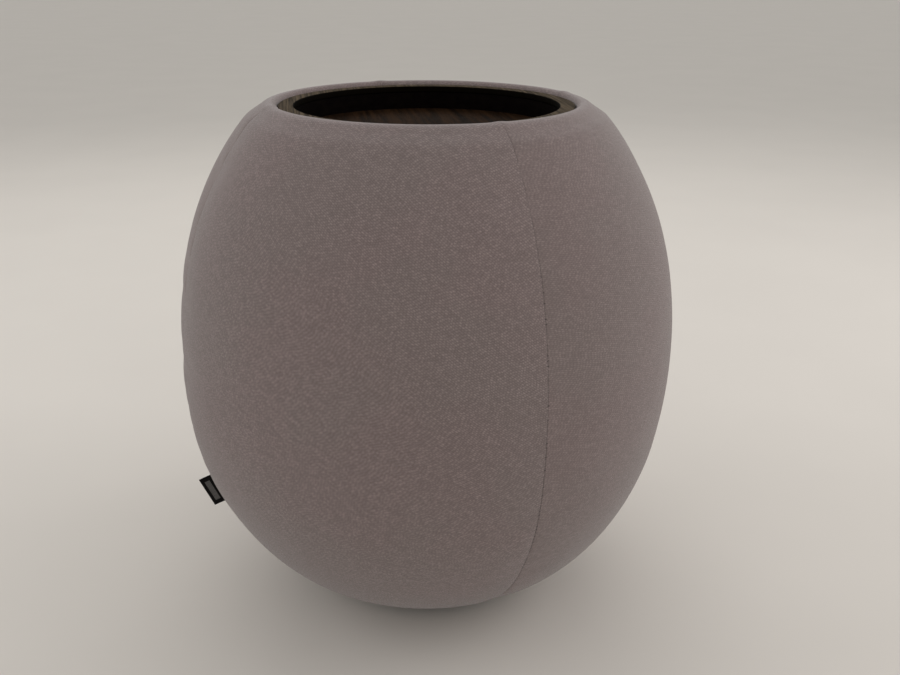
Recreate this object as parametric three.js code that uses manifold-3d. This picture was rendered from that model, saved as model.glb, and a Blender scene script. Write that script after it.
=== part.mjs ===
// Upholstered barrel side table with a wooden tray that drops into its top.
//
// Units are millimetres and +Z is up. The origin is on the floor, under the middle of the table.
// Azimuths are in degrees about +Z, from the front (-Y) towards +X.
// Profiles are lists of [radius, height] points that are turned about +Z.
import * as THREE from 'three';
import { mergeVertices } from 'three/addons/utils/BufferGeometryUtils.js';
import Module from 'manifold-3d';

const wasm = await Module();
wasm.setup();

// ---- Driving dimensions ----

const BODY_RADIUS = 238;
const BODY_HEIGHT = 488;
const GAP = 0.3; // air between pieces that touch

// The barrel is two half superellipses that meet at the belly.
const BELLY_HEIGHT = 251;
const UPPER_REACH = 294;
const UPPER_POWER = 2.158;
const LOWER_REACH = 258.4;
const LOWER_POWER = 2.276;

// The cloth rolls over a lip round the tray, and under the base board at the bottom.
const LIP_ROLL = 14;
const LIP_TOP_RADIUS = 142.4;
const LIP_EDGE_ROLL = 5.5;
const BASE_ROLL = 12;
const BASE_FLAT_RADIUS = 108;

const GORES = 4;
const SEAM_AZIMUTH = 24;
const FRONT_GORE = 96; // degrees; the other gores share the rest
const CLOTH = 1.2;
const WADDING = 6;
const FACETS = 36;
const OUTLINE_TOLERANCE = 1.8;

const TRAY_RADIUS = 136;
const TRAY_RIM_WIDTH = 14.2;
const TRAY_RIM_HEIGHT = 6;
const TRAY_TOP = 484.5;
const TRAY_DEPTH = 22.5;
const TRAY_WALL = 6;
const TRAY_FLOOR = 8;
const TRAY_REBATE = 2; // the wall stands this deep in a rebate round the floor
const FELTS = 4;
const FELT_RADIUS = 12;
const FELT_CIRCLE = 95;
const FELT_HEIGHT = 2.7;

const BOARD = 12;
const TOP_BOARD_RADIUS = 132;
const BASE_BOARD_RADIUS = 104;
const RIBS = 6;
const RIB_INNER = 55;
const RIB_OUTER = 130;
const RIB_FOOT_RADIUS = 100;
const RIB_FOOT_HEIGHT = 78;
const HOOP_INNER = 70;
const HOOP_LAP = 100;
const HOOP_HEIGHT = 248;
const DRUM_INNER = 131; // clears the ribs' corners
const DRUM_SKIN = 3;
const DRUM_TOP = 436;
const DRUM_BOTTOM = RIB_FOOT_HEIGHT + 2;

const GLIDES = 4;
const GLIDE_HEIGHT = 9;
const GLIDE_RADIUS = 12;
const GLIDE_CIRCLE = 72;

const ZIP_RADIUS = 92.7;
const ZIP_ARC = 320;
const ZIP_TAPE = 0.8;
const ZIP_COIL_WIDTH = 2.6;
const TAPE = 2; // thickness of hook tape and of loop tape
const TAPE_DROP = 0.7; // how far the tapes stay below the top board's face

const LABEL_LENGTH = 33;
const LABEL_WIDTH = 16;
const LABEL_THICKNESS = 1.2;
const LABEL_HEIGHT = 122;

const SCREW_RADIUS = 2;
const SCREW_HEAD_RADIUS = 4;
const SCREW_SIDES = 10;
const RIB_SCREW_LENGTH = 36;
const RIB_SCREW_CIRCLE = 85;

// ---- Heights that follow from them ----

const COVER_BASE = GLIDE_HEIGHT + GAP;
const COVER_FLANGE_RADIUS = 96;
const BASE_BOARD_BOTTOM = COVER_BASE + CLOTH + GAP;
const BASE_BOARD_TOP = BASE_BOARD_BOTTOM + BOARD;
const TRAY_FLOOR_TOP = TRAY_TOP - TRAY_DEPTH;
const TRAY_BOTTOM = TRAY_FLOOR_TOP - TRAY_FLOOR;
const TOP_BOARD_TOP = TRAY_BOTTOM - FELT_HEIGHT - 2 * GAP;
const TOP_BOARD_BOTTOM = TOP_BOARD_TOP - BOARD;
const RIM_BOTTOM = TRAY_TOP - TRAY_RIM_HEIGHT;
const RIM_INNER = TRAY_RADIUS - TRAY_RIM_WIDTH;
const HOOK_RADIUS = TOP_BOARD_RADIUS + GAP;
const LOOP_RADIUS = HOOK_RADIUS + TAPE + GAP;
const SKIRT_RADIUS = LOOP_RADIUS + TAPE + 0.5;
const LINING_RADIUS = SKIRT_RADIUS + CLOTH + GAP;
const WADDING_OUTSIDE = CLOTH + GAP;
const WADDING_INSIDE = WADDING_OUTSIDE + WADDING;
const FOAM_OUTSIDE = WADDING_INSIDE + GAP;

// ---- Materials ----

const FINISHES = {
  cover: { color: 0xb3a6a1, roughness: 0.95, metalness: 0 },
  wadding: { color: 0xeeeae2, roughness: 1, metalness: 0 },
  foam: { color: 0xe0d6a8, roughness: 1, metalness: 0 },
  plywood: { color: 0xc9a878, roughness: 0.7, metalness: 0 },
  trayWood: { color: 0x6b5443, roughness: 0.5, metalness: 0 },
  felt: { color: 0x4a4542, roughness: 1, metalness: 0 },
  label: { color: 0x161616, roughness: 0.9, metalness: 0 },
  webbing: { color: 0x2b2a29, roughness: 0.9, metalness: 0 },
  plastic: { color: 0x1d1d1e, roughness: 0.5, metalness: 0 },
  steel: { color: 0xa8a9ab, roughness: 0.35, metalness: 1 },
};

// ---- Geometry helpers ----

const rad = THREE.MathUtils.degToRad;
const OTHER_GORE = (360 - FRONT_GORE) / (GORES - 1);
const SEAMS = Array.from({ length: GORES }, (_, i) => SEAM_AZIMUTH + i * OTHER_GORE);

// Turns a profile about +Z. Facets start at the right seam, so all layers have their corners in line.
function revolve(profile, facets = FACETS) {
  const points = profile.map(([r, z]) => new THREE.Vector2(r, z));
  if (THREE.ShapeUtils.area(points) < 0) points.reverse();
  if (points[0].x > 0) points.push(points[0].clone());
  const lathe = new THREE.LatheGeometry(points, facets, rad(SEAM_AZIMUTH));
  return lathe.rotateX(Math.PI / 2);
}

function ring(inner, outer, bottom, top, facets = FACETS) {
  return revolve([[inner, bottom], [outer, bottom], [outer, top], [inner, top]], facets);
}

function disc(radius, bottom, top, facets = FACETS) {
  return revolve([[0, bottom], [radius, bottom], [radius, top], [0, top]], facets);
}

function block(width, depth, height, x, y, z) {
  return new THREE.BoxGeometry(width, depth, height).translate(x, y, z);
}

// The outline is in X and Z, and the plate is centred on Y.
function plate(outline, thickness) {
  const shape = new THREE.Shape(outline.map(([x, z]) => new THREE.Vector2(x, z)));
  const solid = new THREE.ExtrudeGeometry(shape, { depth: thickness, bevelEnabled: false });
  return solid.rotateX(Math.PI / 2).translate(0, thickness / 2, 0);
}

function toSolid(geometry) {
  const bare = geometry.clone();
  bare.deleteAttribute('normal');
  bare.deleteAttribute('uv');
  const merged = mergeVertices(bare, 1e-4);
  const corners = [];
  for (let i = 0; i < merged.index.count; i += 3) {
    const [a, b, c] = merged.index.array.slice(i, i + 3);
    if (a !== b && b !== c && c !== a) corners.push(a, b, c);
  }
  return new wasm.Manifold(new wasm.Mesh({
    numProp: 3,
    vertProperties: merged.attributes.position.array,
    triVerts: Uint32Array.from(corners),
  }));
}

function toGeometry(solid) {
  const mesh = solid.getMesh();
  const geometry = new THREE.BufferGeometry();
  geometry.setAttribute('position', new THREE.BufferAttribute(mesh.vertProperties, 3));
  geometry.setIndex(new THREE.BufferAttribute(mesh.triVerts, 1));
  geometry.computeVertexNormals();
  return geometry;
}

function cut(geometry, ...tools) {
  return toGeometry(tools.reduce((solid, tool) => solid.subtract(toSolid(tool)), toSolid(geometry)));
}

function keep(geometry, tool) {
  return toGeometry(toSolid(geometry).intersect(toSolid(tool)));
}

function join(first, ...others) {
  return toGeometry(others.reduce((solid, other) => solid.add(toSolid(other)), toSolid(first)));
}

// A slice of cake between two azimuths, drawn back by half a gap from both of its sides.
function wedge(from, to, margin = GAP / 2) {
  const REACH = 2 * BODY_RADIUS;
  const STEPS = 8;
  const middle = rad((from + to) / 2);
  const half = rad((to - from) / 2);
  const shift = margin / Math.sin(half);
  const points = [[0, 0]];
  for (let i = 0; i <= STEPS; i += 1) {
    const azimuth = rad(from) + (2 * half * i) / STEPS;
    points.push([REACH * Math.sin(azimuth), -REACH * Math.cos(azimuth)]);
  }
  const shape = new THREE.Shape(points.map(([x, y]) => new THREE.Vector2(x, y)));
  const solid = new THREE.ExtrudeGeometry(shape, { depth: 2 * BODY_HEIGHT, bevelEnabled: false });
  return solid.translate(shift * Math.sin(middle), -shift * Math.cos(middle), -BODY_HEIGHT / 2);
}

function polar(radius, azimuth) {
  return [radius * Math.sin(rad(azimuth)), -radius * Math.cos(rad(azimuth))];
}

// ---- The barrel's outline ----

function barrelPoint(angle) {
  const upper = angle > 0;
  const power = 2 / (upper ? UPPER_POWER : LOWER_POWER);
  const reach = upper ? UPPER_REACH : -LOWER_REACH;
  return [
    BODY_RADIUS * Math.cos(angle) ** power,
    BELLY_HEIGHT + reach * Math.abs(Math.sin(angle)) ** power,
  ];
}

function rollPoint(centreRadius, centreHeight, roll, angle) {
  return [centreRadius + roll * Math.cos(angle), centreHeight + roll * Math.sin(angle)];
}

function turn([ax, ay], [bx, by], [cx, cy]) {
  return (bx - ax) * (cy - by) - (by - ay) * (cx - bx);
}

// The line that cloth takes when it is pulled tight over points, from the lowest to the highest.
function stretchOver(points) {
  const line = [];
  for (const point of [...points].sort((a, b) => a[1] - b[1])) {
    while (line.length > 1 && turn(line.at(-2), line.at(-1), point) <= 0) line.pop();
    line.push(point);
  }
  return line;
}

// Drops the points that a straight run between their neighbours misses by less than the tolerance.
function simplify(line, tolerance) {
  const [first, last] = [line[0], line.at(-1)];
  const length = Math.hypot(last[0] - first[0], last[1] - first[1]);
  const offsets = line.map((point) => Math.abs(turn(first, last, point)) / length);
  const furthest = offsets.indexOf(Math.max(...offsets));
  if (offsets[furthest] < tolerance) return [first, last];
  const before = simplify(line.slice(0, furthest + 1), tolerance);
  return [...before.slice(0, -1), ...simplify(line.slice(furthest), tolerance)];
}

// From the flat base, round the barrel, to the top of the lip.
function barrelOutline() {
  const SAMPLES = 60;
  const LOWEST = -1.15;
  const HIGHEST = 0.84;
  const points = [];
  for (let i = 0; i <= SAMPLES; i += 1) {
    const share = i / SAMPLES;
    points.push(barrelPoint(LOWEST + (HIGHEST - LOWEST) * share));
    points.push(rollPoint(BASE_FLAT_RADIUS, COVER_BASE + BASE_ROLL, BASE_ROLL, -Math.PI / 2 * share));
    points.push(rollPoint(LIP_TOP_RADIUS, BODY_HEIGHT - LIP_ROLL, LIP_ROLL, Math.PI / 2 * share));
  }
  return simplify(stretchOver(points), OUTLINE_TOLERANCE);
}

// Moves an outline inwards, to its left, so that every side keeps the same distance.
function inset(line, depth) {
  const normals = line.slice(1).map(([x, y], i) => {
    const [dx, dy] = [x - line[i][0], y - line[i][1]];
    return [-dy / Math.hypot(dx, dy), dx / Math.hypot(dx, dy)];
  });
  return line.map(([x, y], i) => {
    const [ax, ay] = normals[Math.max(i - 1, 0)];
    const [bx, by] = normals[Math.min(i, normals.length - 1)];
    const scale = depth / (1 + ax * bx + ay * by);
    return [x + (ax + bx) * scale, y + (ay + by) * scale];
  });
}

function shell(line, outside, inside) {
  return [...inset(line, outside), ...inset(line, inside).reverse()];
}

const OUTLINE = barrelOutline();

// The cover's own path: the flange under the base, the barrel, the lip's inner edge and the skirt.
function coverPath() {
  const STEPS = 3;
  const path = [[COVER_FLANGE_RADIUS, COVER_BASE], ...OUTLINE];
  for (let i = 1; i <= STEPS; i += 1) {
    const angle = (Math.PI / 2) * (1 + i / STEPS);
    path.push([
      LIP_TOP_RADIUS + (LIP_TOP_RADIUS - SKIRT_RADIUS) * Math.cos(angle),
      BODY_HEIGHT - LIP_EDGE_ROLL + LIP_EDGE_ROLL * Math.sin(angle),
    ]);
  }
  path.push([SKIRT_RADIUS, TOP_BOARD_BOTTOM + GAP]);
  return path;
}

// ---- Screws ----

// A countersunk screw with its head up. Its head's face is at height 0.
function screw(length, clearance = 0) {
  const POINT = 4;
  const HEAD_DEPTH = 3;
  const HEAD_EDGE = 0.8;
  const shank = SCREW_RADIUS + clearance;
  const head = SCREW_HEAD_RADIUS + clearance;
  return new THREE.LatheGeometry([
    new THREE.Vector2(0, -length - clearance),
    new THREE.Vector2(shank, POINT - length),
    new THREE.Vector2(shank, -HEAD_DEPTH - clearance),
    new THREE.Vector2(head, -HEAD_EDGE - clearance),
    new THREE.Vector2(head, clearance),
    new THREE.Vector2(0, clearance),
  ], SCREW_SIDES).rotateX(Math.PI / 2);
}

function screwDown(radius, azimuth, height, length, clearance = 0) {
  return screw(length, clearance).translate(...polar(radius, azimuth), height);
}

function screwUp(radius, azimuth, height, length, clearance = 0) {
  return screw(length, clearance).rotateX(Math.PI).translate(...polar(radius, azimuth), height);
}

// ---- The table ----

const table = new THREE.Group();

function add(name, geometry, finish, parent = table) {
  const mesh = new THREE.Mesh(geometry, new THREE.MeshStandardMaterial(FINISHES[finish]));
  mesh.name = name;
  parent.add(mesh);
  return mesh;
}

function around(count, firstAzimuth, make) {
  for (let i = 0; i < count; i += 1) make(i + 1, firstAzimuth + (i * 360) / count);
}

const RIB_AZIMUTHS = Array.from({ length: RIBS }, (_, i) => (i * 360) / RIBS);
const GLIDE_AZIMUTHS = Array.from({ length: GLIDES }, (_, i) => 45 + (i * 360) / GLIDES);
const HOLE = 0.35; // clearance round a screw in its hole

// Each screw goes through a board into a rib's end, and the same cutter makes both holes.
function ribScrews(clearance = 0) {
  return RIB_AZIMUTHS.map((azimuth) => ({
    top: screwDown(RIB_SCREW_CIRCLE, azimuth, TOP_BOARD_TOP - GAP, RIB_SCREW_LENGTH, clearance),
    bottom: screwUp(RIB_SCREW_CIRCLE, azimuth, BASE_BOARD_BOTTOM + GAP, RIB_SCREW_LENGTH, clearance),
  }));
}

function addFrame() {
  const GLIDE_SCREW_HOLE = 2.5;
  const holes = ribScrews(HOLE);
  const glideHoles = GLIDE_AZIMUTHS.map((azimuth) => (
    new THREE.CylinderGeometry(GLIDE_SCREW_HOLE, GLIDE_SCREW_HOLE, 3 * BOARD, SCREW_SIDES)
      .rotateX(Math.PI / 2)
      .translate(...polar(GLIDE_CIRCLE, azimuth), BASE_BOARD_BOTTOM)
  ));
  const base = disc(BASE_BOARD_RADIUS, BASE_BOARD_BOTTOM, BASE_BOARD_TOP);
  add('base_board', cut(base, ...holes.map((hole) => hole.bottom), ...glideHoles), 'plywood');
  const top = disc(TOP_BOARD_RADIUS, TOP_BOARD_BOTTOM, TOP_BOARD_TOP);
  add('top_board', cut(top, ...holes.map((hole) => hole.top)), 'plywood');

  const low = BASE_BOARD_TOP + GAP;
  const high = TOP_BOARD_BOTTOM - GAP;
  const rib = plate([
    [RIB_INNER, low],
    [RIB_FOOT_RADIUS, low],
    [RIB_OUTER, RIB_FOOT_HEIGHT],
    [RIB_OUTER, HOOP_HEIGHT - GAP],
    [HOOP_LAP, HOOP_HEIGHT - GAP],
    [HOOP_LAP, HOOP_HEIGHT + BOARD + GAP],
    [RIB_OUTER, HOOP_HEIGHT + BOARD + GAP],
    [RIB_OUTER, high],
    [RIB_INNER, high],
  ], BOARD);
  RIB_AZIMUTHS.forEach((azimuth, i) => {
    const placed = rib.clone().rotateZ(rad(azimuth - 90));
    add(`rib_${i + 1}`, cut(placed, holes[i].top, holes[i].bottom), 'plywood');
  });

  // The hoop laps halfway into every rib.
  const notches = RIB_AZIMUTHS.map((azimuth) => (
    block(HOOP_LAP + GAP, BOARD + 2 * GAP, 3 * BOARD, (HOOP_LAP + GAP) / 2, 0, HOOP_HEIGHT)
      .rotateZ(rad(azimuth - 90))
  ));
  const hoop = ring(HOOP_INNER, RIB_OUTER - GAP, HOOP_HEIGHT, HOOP_HEIGHT + BOARD);
  add('mid_hoop', cut(hoop, ...notches), 'plywood');

  add('drum_skin', ring(DRUM_INNER, DRUM_INNER + DRUM_SKIN, DRUM_BOTTOM, DRUM_TOP), 'plywood');

  ribScrews().forEach(({ top: down, bottom: up }, i) => {
    add(`rib_screw_top_${i + 1}`, down, 'steel');
    add(`rib_screw_bottom_${i + 1}`, up, 'steel');
  });
}

function addPadding() {
  const DRUM_CLEARANCE = DRUM_INNER + DRUM_SKIN + GAP;
  const BASE_CLEARANCE = BASE_BOARD_RADIUS + 2 * GAP;
  const BODY_TOP = TOP_BOARD_TOP - TAPE_DROP;
  const aroundFrame = [
    [LINING_RADIUS, BODY_HEIGHT - FOAM_OUTSIDE],
    [LINING_RADIUS, DRUM_TOP],
    [DRUM_CLEARANCE, DRUM_TOP],
    [DRUM_CLEARANCE, DRUM_BOTTOM],
    [BASE_CLEARANCE, BASE_BOARD_TOP + 1],
    [BASE_CLEARANCE, COVER_BASE + FOAM_OUTSIDE],
  ];
  const foam = revolve([...inset(OUTLINE, FOAM_OUTSIDE), ...aroundFrame]);
  const REACH = 3 * BODY_RADIUS;
  const below = (x, width) => block(width, REACH, BODY_HEIGHT, x, 0, BODY_TOP - BODY_HEIGHT / 2);
  const above = block(REACH, REACH, BODY_HEIGHT, 0, 0, BODY_TOP + GAP + BODY_HEIGHT / 2);
  const side = REACH / 2;
  add('foam_body_left', keep(foam, below(-(side + GAP) / 2, side)), 'foam');
  add('foam_body_right', keep(foam, below((side + GAP) / 2, side)), 'foam');
  add('foam_lip', keep(foam, above), 'foam');
  add('wadding', revolve(shell(OUTLINE, WADDING_OUTSIDE, WADDING_INSIDE)), 'wadding');
}

function addCover() {
  const NAMES = ['cover_panel_right', 'cover_panel_back', 'cover_panel_left', 'cover_panel_front'];
  const cover = revolve(shell(coverPath(), 0, CLOTH));
  NAMES.forEach((name, i) => {
    const next = SEAMS[i + 1] ?? SEAMS[0] + 360;
    add(name, keep(cover, wedge(SEAMS[i], next)), 'cover');
  });

  const CLOTH_RADIUS = 88;
  const HOLE_RADIUS = 2.8;
  const holes = GLIDE_AZIMUTHS.map((azimuth) => (
    disc(HOLE_RADIUS, 0, 2 * COVER_BASE, SCREW_SIDES).translate(...polar(GLIDE_CIRCLE, azimuth), 0)
  ));
  // A tab reaches the cover at the back, where the zip leaves a gap between the two.
  const reach = disc(COVER_FLANGE_RADIUS - GAP, COVER_BASE, COVER_BASE + CLOTH);
  const tab = keep(reach, wedge(ZIP_ARC / 2, 360 - ZIP_ARC / 2, 0));
  const bottom = join(disc(CLOTH_RADIUS, COVER_BASE, COVER_BASE + CLOTH), tab);
  add('bottom_cloth', cut(bottom, ...holes), 'webbing');

  const [tapeLow, tapeHigh] = [TOP_BOARD_BOTTOM + GAP, TOP_BOARD_TOP - TAPE_DROP];
  add('hook_tape', ring(HOOK_RADIUS, HOOK_RADIUS + TAPE, tapeLow, tapeHigh), 'webbing');
  add('loop_tape', ring(LOOP_RADIUS, LOOP_RADIUS + TAPE, tapeLow, tapeHigh), 'webbing');
}

// The label is sewn into the left seam and stands straight out from the cloth.
function addLabel() {
  const STAND_OFF = 0.9;
  const above = OUTLINE.findIndex(([, z]) => z > LABEL_HEIGHT);
  const [low, high] = [OUTLINE[above - 1], OUTLINE[above]];
  const slope = Math.atan2(high[1] - low[1], high[0] - low[0]);
  const share = (LABEL_HEIGHT - low[1]) / (high[1] - low[1]);
  const label = block(LABEL_WIDTH, LABEL_THICKNESS, LABEL_LENGTH, LABEL_WIDTH / 2 + STAND_OFF, 0, 0);
  const mesh = add('side_label', label.rotateY(Math.PI / 2 - slope), 'label');
  const azimuth = SEAMS.at(-1);
  const radius = low[0] + share * (high[0] - low[0]);
  mesh.rotation.z = rad(azimuth - 90);
  mesh.position.set(...polar(radius, azimuth), LABEL_HEIGHT);
}

function addTray() {
  const EASE = 0.8; // the rim's edges are eased by this much
  const FINE = 2 * FACETS;
  const FELT_FACETS = 16;
  add('tray_rim', revolve([
    [RIM_INNER, RIM_BOTTOM],
    [TRAY_RADIUS - EASE, RIM_BOTTOM],
    [TRAY_RADIUS, RIM_BOTTOM + EASE],
    [TRAY_RADIUS, TRAY_TOP - EASE],
    [TRAY_RADIUS - EASE, TRAY_TOP],
    [RIM_INNER + EASE, TRAY_TOP],
    [RIM_INNER, TRAY_TOP - EASE],
  ], FINE), 'trayWood');
  const wall = RIM_INNER + 1;
  const wallBottom = TRAY_FLOOR_TOP - TRAY_REBATE;
  add('tray_wall', ring(wall, wall + TRAY_WALL, wallBottom, RIM_BOTTOM - GAP, FINE), 'trayWood');
  add('tray_floor', revolve([
    [0, TRAY_BOTTOM],
    [wall + TRAY_WALL, TRAY_BOTTOM],
    [wall + TRAY_WALL, wallBottom - GAP],
    [wall - GAP, wallBottom - GAP],
    [wall - GAP, TRAY_FLOOR_TOP],
    [0, TRAY_FLOOR_TOP],
  ], FINE), 'trayWood');
  around(FELTS, 45, (number, azimuth) => {
    const felt = disc(FELT_RADIUS, TOP_BOARD_TOP + GAP, TRAY_BOTTOM - GAP, FELT_FACETS);
    add(`tray_felt_${number}`, felt.translate(...polar(FELT_CIRCLE, azimuth), 0), 'felt');
  });
}

function addGlides() {
  const FACES = 16;
  const BORE = 2.6;
  const COUNTERBORE = 5.2;
  const SHOULDER = 5.6;
  const HEAD_BOTTOM = 2.6;
  const HEAD_HEIGHT = 2.6;
  const HEAD_RADIUS = 4.6;
  const EDGE = 1.5;
  const NECK = 2;
  const NECK_HEIGHT = 3;
  const POINT = 3;
  const TIP = BASE_BOARD_TOP - 2;
  const glide = revolve([
    [COUNTERBORE, 0],
    [GLIDE_RADIUS - EDGE, 0],
    [GLIDE_RADIUS, EDGE],
    [GLIDE_RADIUS, GLIDE_HEIGHT - NECK_HEIGHT],
    [GLIDE_RADIUS - NECK, GLIDE_HEIGHT],
    [BORE, GLIDE_HEIGHT],
    [BORE, SHOULDER],
    [COUNTERBORE, SHOULDER],
  ], FACES);
  const glideScrew = revolve([
    [0, HEAD_BOTTOM],
    [HEAD_RADIUS, HEAD_BOTTOM],
    [HEAD_RADIUS, HEAD_BOTTOM + HEAD_HEIGHT],
    [SCREW_RADIUS, HEAD_BOTTOM + HEAD_HEIGHT],
    [SCREW_RADIUS, TIP - POINT],
    [0, TIP],
  ], SCREW_SIDES);
  around(GLIDES, 45, (number, azimuth) => {
    const place = [...polar(GLIDE_CIRCLE, azimuth), 0];
    add(`glide_${number}`, glide.clone().translate(...place), 'plastic');
    add(`glide_screw_${number}`, glideScrew.clone().translate(...place), 'steel');
  });
}

// The zip runs round the underside and is open at the back. Its slider parks at the start.
function addZip() {
  const TAPE_TOP = COVER_BASE - GAP;
  const TAPE_BOTTOM = TAPE_TOP - ZIP_TAPE;
  const COIL_BOTTOM = TAPE_BOTTOM - 1;
  const STOP_BOTTOM = COIL_BOTTOM - 0.4;
  const [coilIn, coilOut] = [ZIP_RADIUS - ZIP_COIL_WIDTH / 2, ZIP_RADIUS + ZIP_COIL_WIDTH / 2];
  const OUTER_WIDTH = 8;
  const INNER_WIDTH = 6.6;
  const STOP_ARC = 2;
  const STOP_CLEARANCE = 0.2; // degrees
  const start = -ZIP_ARC / 2;
  const end = ZIP_ARC / 2;
  const closedPart = wedge(end, start + 360, 0);
  const stops = [wedge(end - STOP_ARC, end, 0), wedge(start, start + STOP_ARC, 0)];
  const stopSpan = STOP_ARC + STOP_CLEARANCE;
  const openings = wedge(end - stopSpan, start + stopSpan + 360, 0);

  const inner = ring(coilIn - GAP - INNER_WIDTH, coilIn - GAP, TAPE_BOTTOM, TAPE_TOP);
  add('zip_tape_inner', cut(inner, closedPart), 'webbing');
  const outer = ring(coilOut + GAP, coilOut + GAP + OUTER_WIDTH, TAPE_BOTTOM, TAPE_TOP);
  add('zip_tape_outer', cut(outer, closedPart), 'webbing');
  const coil = ring(coilIn, coilOut, COIL_BOTTOM, TAPE_TOP);
  add('zip_coil', cut(coil, openings), 'plastic');
  stops.forEach((stop, i) => {
    add(`zip_stop_${i + 1}`, keep(ring(coilIn, coilOut, STOP_BOTTOM, TAPE_TOP), stop), 'steel');
  });

  // The slider is a channel that straddles the coil, with a small lug for a hook.
  const HALF_WIDTH = 4.6;
  const GROOVE = 1.8;
  const SLIDER_TOP = TAPE_BOTTOM - GAP;
  const GROOVE_TOP = COIL_BOTTOM - 0.5;
  const SLIDER_BOTTOM = GROOVE_TOP - 1.8;
  const SLIDER_ARC = 8;
  const PARKING = 10; // degrees from the zip's start to the slider's middle
  const LUG = { length: 6, width: 2.4, height: 2.2, lap: 0.5 };
  const parked = start + PARKING;
  const channel = revolve([
    [ZIP_RADIUS - HALF_WIDTH, SLIDER_BOTTOM],
    [ZIP_RADIUS + HALF_WIDTH, SLIDER_BOTTOM],
    [ZIP_RADIUS + HALF_WIDTH, SLIDER_TOP],
    [ZIP_RADIUS + GROOVE, SLIDER_TOP],
    [ZIP_RADIUS + GROOVE, GROOVE_TOP],
    [ZIP_RADIUS - GROOVE, GROOVE_TOP],
    [ZIP_RADIUS - GROOVE, SLIDER_TOP],
    [ZIP_RADIUS - HALF_WIDTH, SLIDER_TOP],
  ], 4 * FACETS);
  const piece = keep(channel, wedge(parked - SLIDER_ARC / 2, parked + SLIDER_ARC / 2, 0));
  const lugMiddle = SLIDER_BOTTOM + LUG.lap - LUG.height / 2;
  const lug = block(LUG.length, LUG.width, LUG.height, 0, 0, lugMiddle)
    .rotateZ(rad(parked))
    .translate(...polar(ZIP_RADIUS, parked), 0);
  add('zip_slider', join(piece, lug), 'steel');
}

addFrame();
addPadding();
addCover();
addLabel();
addTray();
addGlides();
addZip();

export default table;
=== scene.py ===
"""Looks of an upholstered barrel side table with a wooden tray that lifts out of its top.

Lengths are in millimetres, as in the CAD source, until a mesh is made in metres. Profiles are lists of
(radius, height). Azimuths are in degrees about +Z, from the front (-Y) towards +X.
"""
import math

import bmesh
import bpy
import numpy as np
from mathutils import Euler, Matrix, Vector, noise


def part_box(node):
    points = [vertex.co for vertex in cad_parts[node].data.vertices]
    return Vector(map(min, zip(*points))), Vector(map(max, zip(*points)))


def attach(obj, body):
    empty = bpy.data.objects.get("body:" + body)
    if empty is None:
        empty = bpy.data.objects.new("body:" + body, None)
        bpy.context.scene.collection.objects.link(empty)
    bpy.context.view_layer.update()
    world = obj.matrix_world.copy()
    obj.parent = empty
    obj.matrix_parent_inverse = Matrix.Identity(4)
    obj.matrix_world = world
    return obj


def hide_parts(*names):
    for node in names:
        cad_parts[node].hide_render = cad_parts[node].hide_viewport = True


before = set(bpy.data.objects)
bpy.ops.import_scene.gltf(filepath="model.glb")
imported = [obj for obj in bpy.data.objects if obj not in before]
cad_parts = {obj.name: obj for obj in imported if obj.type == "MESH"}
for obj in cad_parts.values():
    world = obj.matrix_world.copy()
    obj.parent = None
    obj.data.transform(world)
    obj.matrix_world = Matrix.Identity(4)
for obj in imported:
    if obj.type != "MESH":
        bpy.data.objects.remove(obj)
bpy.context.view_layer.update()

MM = 0.001

# ---- Sizes that the CAD source also has ----

BODY_RADIUS = 238
BODY_HEIGHT = 488
BELLY_HEIGHT = 251
UPPER_REACH, UPPER_POWER = 294, 2.158
LOWER_REACH, LOWER_POWER = 258.4, 2.276
LIP_ROLL, LIP_TOP_RADIUS, LIP_EDGE_ROLL = 14, 142.4, 5.5
BASE_ROLL, BASE_FLAT_RADIUS = 12, 108
COVER_BASE, COVER_FLANGE_RADIUS = 9.3, 96
SKIRT_RADIUS, SKIRT_BOTTOM = 137.1, 439
FRONT_GORE = 96
SEAMS = [24 + (360 - FRONT_GORE) / 3 * i for i in range(4)]
CLOTH = 1.2
RIM_INNER, RIM_OUTER = 121.8, 136
WALL_INNER, WALL_OUTER = 122.8, 128.8
GLIDE_RADIUS, GLIDE_HEIGHT, FELT_RADIUS = 12, 9, 12
ZIP_RADIUS, COIL_WIDTH = 92.7, 2.6
LABEL_HEIGHT, LABEL_LENGTH, LABEL_WIDTH = 122, 33, 16

STITCH = 4.2  # from one needle hole to the next along a seam


def gore_arc(number):
    """The degrees from a gore's first seam to its second."""
    return (SEAMS + [SEAMS[0] + 360])[number + 1] - SEAMS[number]


def high(node):
    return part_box(node)[1].z / MM


def low(node):
    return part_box(node)[0].z / MM


def centre(node):
    """The middle of a node's box, in millimetres."""
    low_corner, high_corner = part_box(node)
    return (low_corner + high_corner) / 2 / MM


# ---- Shader helpers ----

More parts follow.
